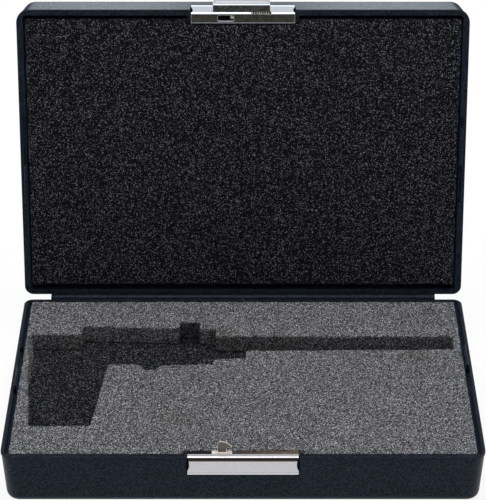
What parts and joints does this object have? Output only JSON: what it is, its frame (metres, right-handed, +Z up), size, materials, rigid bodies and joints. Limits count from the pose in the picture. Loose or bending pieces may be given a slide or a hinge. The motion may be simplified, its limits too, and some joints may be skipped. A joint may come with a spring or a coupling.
{
  "type": "tool case",
  "caption": "Hinged moulded case with a foam tray cut to the outline of a long-jawed caliper, a padded lid and a sprung slide latch with a barbed hook.",
  "frame": {"origin": "middle of the base's underside, where the case rests on a table", "axes": "+X to the right along the hinge and the front latch, +Y from the latch back to the hinge, +Z up"},
  "size_m": [0.26, 0.2291, 0.2084],
  "materials": {
    "case_plastic": "black ABS with a fine spark-eroded texture, slightly glossy",
    "grey_foam": "mid-grey open-cell polyurethane foam, matt",
    "dark_foam": "charcoal open-cell polyurethane foam, matt",
    "chromed_sheet": "bright plated pressed steel sheet",
    "spring_wire": "drawn spring steel wire",
    "rivet_steel": "plated steel rivets",
    "steel_rod": "drawn steel rod"
  },
  "bodies": {
    "base": {"base_shell": "case_plastic", "base_foam_pad": "dark_foam", "base_foam_insert": "grey_foam", "strike_plate": "chromed_sheet", "latch_hook": "chromed_sheet", "strike_plate_rivets": "rivet_steel", "hinge_pin": "steel_rod"},
    "lid": {"lid_shell": "case_plastic", "lid_foam_pad": "dark_foam", "latch_housing": "chromed_sheet", "latch_housing_rivets": "rivet_steel", "catch_spring": "spring_wire"},
    "latch_slider": {"catch_plate": "chromed_sheet", "slider_button": "chromed_sheet", "slider_rivets": "rivet_steel"}
  },
  "joints": [
    {"name": "lid_hinge", "type": "hinge", "parent": "base", "child": "lid", "pos_m": [0, 0.0895, 0.0303], "axis": [1, 0, 0], "range_deg": [0, 97.1]},
    {"name": "latch_slide", "type": "slide", "parent": "lid", "child": "latch_slider", "axis": [1, 0, 0], "range_m": [0, 0.0035], "stiffness_N_per_m": 1500, "springref_m": -0.001, "deforming": ["catch_spring"]}
  ]
}
